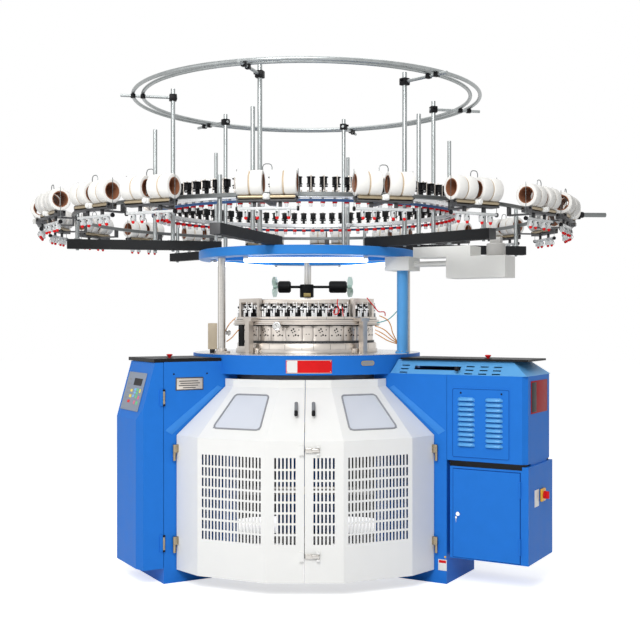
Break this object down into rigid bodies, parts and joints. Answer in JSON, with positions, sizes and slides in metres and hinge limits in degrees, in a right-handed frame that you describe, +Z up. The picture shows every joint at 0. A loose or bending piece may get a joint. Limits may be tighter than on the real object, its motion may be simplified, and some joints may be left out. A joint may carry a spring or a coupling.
{
  "type": "circular knitting machine",
  "caption": "Large circular knitting machine with three boxed legs, faceted guards, a round knitting head, and a gallery of feeders and yarn packages under top rings.",
  "frame": {"origin": "on the floor, on the axis of the needle cylinder", "axes": "+Z up, -Y towards the front guards, +X towards the drive cabinet"},
  "size_m": [3.4604, 3.2278, 2.792],
  "materials": {
    "blue_paint": "gloss paint",
    "light_paint": "satin paint",
    "black_paint": "satin paint",
    "grey_paint": "satin paint",
    "bright_steel": "ground steel",
    "zinc_steel": "zinc plated",
    "cast_grey": "machined casting",
    "aluminium_rail": "anodised",
    "clear_plastic": "clear",
    "red_plastic": "gloss",
    "grey_plastic": "matt",
    "black_plastic": "matt",
    "green_plastic": "translucent",
    "label_mix": "printed plates",
    "blue_belt": "toothed belt",
    "black_belt": "toothed belt",
    "yarn": "wound yarn on card tubes",
    "lamp_glass": "lit tube"
  },
  "bodies": {
    "frame": {"leg_left": "blue_paint", "leg_right": "blue_paint", "leg_rear": "blue_paint", "base_frame": "cast_grey", "bed_plate": "blue_paint", "label_plates": "label_mix", "rear_guards": "light_paint", "saddle_ring": "bright_steel", "cap_ring": "bright_steel", "cam_boxes": "bright_steel", "head_posts": "bright_steel", "yarn_guides": "bright_steel", "steel_columns": "bright_steel", "column_right": "blue_paint", "upper_ring": "blue_paint", "lamps": "lamp_glass", "beams": "black_paint", "posts": "zinc_steel", "top_clamps": "zinc_steel", "top_rings": "zinc_steel", "creel_ring": "zinc_steel", "creel_brackets": "zinc_steel", "creel_rollers": "cast_grey", "yarn_packages": "yarn", "stop_sensors": "clear_plastic", "feeder_ring": "aluminium_rail", "feeders": "black_plastic", "feeder_belt": "blue_belt", "drive_cases": "grey_paint", "blower_motor": "grey_paint", "top_plates": "black_paint", "motor_cover": "blue_paint", "louvre_panel": "blue_paint", "cover_lid": "blue_paint", "main_motor": "cast_grey", "drive_belt": "black_belt", "electrical_cabinet": "blue_paint"},
    "cylinder": {"needle_cylinder": "bright_steel", "takedown_frame": "grey_paint"},
    "draw_roller": {"draw_roller": "black_plastic"},
    "winding_bar": {"winding_bar": "bright_steel"},
    "drive_shaft": {"drive_shaft": "cast_grey"},
    "motor_pulley": {"motor_pulley": "cast_grey"},
    "feeder_shaft": {"feeder_shaft": "bright_steel"},
    "fan_boom": {"fan_boom": "black_plastic"},
    "fan_blade_left": {"fan_blade_left": "green_plastic"},
    "fan_blade_right": {"fan_blade_right": "green_plastic"},
    "guard_right": {"guard_right": "light_paint", "window_right": "clear_plastic"},
    "guard_left": {"guard_left": "light_paint", "window_left": "clear_plastic"},
    "latch_upper": {"latch_upper": "bright_steel"},
    "latch_lower": {"latch_lower": "bright_steel"},
    "control_box": {"control_box": "blue_paint", "keypad": "grey_plastic"},
    "cabinet_door": {"cabinet_door": "blue_paint"},
    "main_switch": {"main_switch": "red_plastic"},
    "emergency_button_left": {"emergency_button_left": "red_plastic"},
    "emergency_button_right": {"emergency_button_right": "red_plastic"},
    "clutch_lever": {"clutch_lever": "bright_steel"}
  },
  "joints": [
    {"name": "cylinder_spin", "type": "hinge", "parent": "frame", "child": "cylinder", "pos_m": [0, 0, 1.2], "axis": [0, 0, 1], "continuous": true},
    {"name": "draw_roller_spin", "type": "hinge", "parent": "cylinder", "child": "draw_roller", "pos_m": [0, 0, 0.78], "axis": [1, 0, 0], "continuous": true},
    {"name": "winding_bar_spin", "type": "hinge", "parent": "cylinder", "child": "winding_bar", "pos_m": [0, 0, 0.4], "axis": [1, 0, 0], "continuous": true},
    {"name": "drive_shaft_spin", "type": "hinge", "parent": "frame", "child": "drive_shaft", "pos_m": [0.66684, -0.385, 1], "axis": [0, 0, 1], "continuous": true},
    {"name": "motor_spin", "type": "hinge", "parent": "frame", "child": "motor_pulley", "pos_m": [1.08253, -0.625, 1.12], "axis": [0, 0, 1], "continuous": true},
    {"name": "feeder_shaft_spin", "type": "hinge", "parent": "frame", "child": "feeder_shaft", "pos_m": [0.59292, -0.27304, 1.45], "axis": [0, 0, 1], "continuous": true},
    {"name": "fan_boom_spin", "type": "hinge", "parent": "frame", "child": "fan_boom", "pos_m": [0, 0, 1.7], "axis": [0, 0, 1], "continuous": true},
    {"name": "fan_left_spin", "type": "hinge", "parent": "fan_boom", "child": "fan_blade_left", "pos_m": [-0.19, 0, 1.631], "axis": [1, 0, 0], "continuous": true},
    {"name": "fan_right_spin", "type": "hinge", "parent": "fan_boom", "child": "fan_blade_right", "pos_m": [0.26, 0, 1.631], "axis": [1, 0, 0], "continuous": true},
    {"name": "guard_right_swing", "type": "hinge", "parent": "frame", "child": "guard_right", "pos_m": [0.71089, -0.6587, 0.6], "axis": [0, 0, 1], "range_deg": [0, 80]},
    {"name": "guard_left_swing", "type": "hinge", "parent": "frame", "child": "guard_left", "pos_m": [-0.71089, -0.6587, 0.6], "axis": [0, 0, -1], "range_deg": [0, 75]},
    {"name": "latch_upper_turn", "type": "hinge", "parent": "guard_right", "child": "latch_upper", "pos_m": [0.07, -0.9588, 0.759], "axis": [0, 0, 1], "range_deg": [0, 150]},
    {"name": "latch_lower_turn", "type": "hinge", "parent": "guard_right", "child": "latch_lower", "pos_m": [0.07, -0.9588, 0.212], "axis": [0, 0, 1], "range_deg": [0, 150]},
    {"name": "control_box_swing", "type": "hinge", "parent": "frame", "child": "control_box", "pos_m": [-0.76417, -0.67941, 0.6], "axis": [0, 0, 1], "range_deg": [0, 50]},
    {"name": "cabinet_door_swing", "type": "hinge", "parent": "frame", "child": "cabinet_door", "pos_m": [1.12141, -0.88566, 0.4], "axis": [0, 0, 1], "range_deg": [0, 110]},
    {"name": "main_switch_turn", "type": "hinge", "parent": "frame", "child": "main_switch", "pos_m": [1.29172, -0.72268, 0.492], "axis": [0.866, -0.5, 0], "range_deg": [0, 90]},
    {"name": "emergency_left_press", "type": "slide", "parent": "frame", "child": "emergency_button_left", "axis": [0, 0, 1], "range_m": [-0.005, 0], "stiffness_N_per_m": 400, "springref_m": 0.002},
    {"name": "emergency_right_press", "type": "slide", "parent": "frame", "child": "emergency_button_right", "axis": [0, 0, 1], "range_m": [-0.005, 0], "stiffness_N_per_m": 400, "springref_m": 0.002},
    {"name": "clutch_lever_swing", "type": "hinge", "parent": "frame", "child": "clutch_lever", "pos_m": [0.8729, -0.34809, 1.168], "axis": [0, 0, 1], "range_deg": [-42, 0]}
  ],
  "couplings": [
    {"joint": "drive_shaft_spin", "follows": "cylinder_spin", "ratio": -6},
    {"joint": "motor_spin", "follows": "cylinder_spin", "ratio": -7.92},
    {"joint": "feeder_shaft_spin", "follows": "cylinder_spin", "ratio": 3},
    {"joint": "draw_roller_spin", "follows": "cylinder_spin", "ratio": 0.25},
    {"joint": "winding_bar_spin", "follows": "cylinder_spin", "ratio": 0.12}
  ]
}
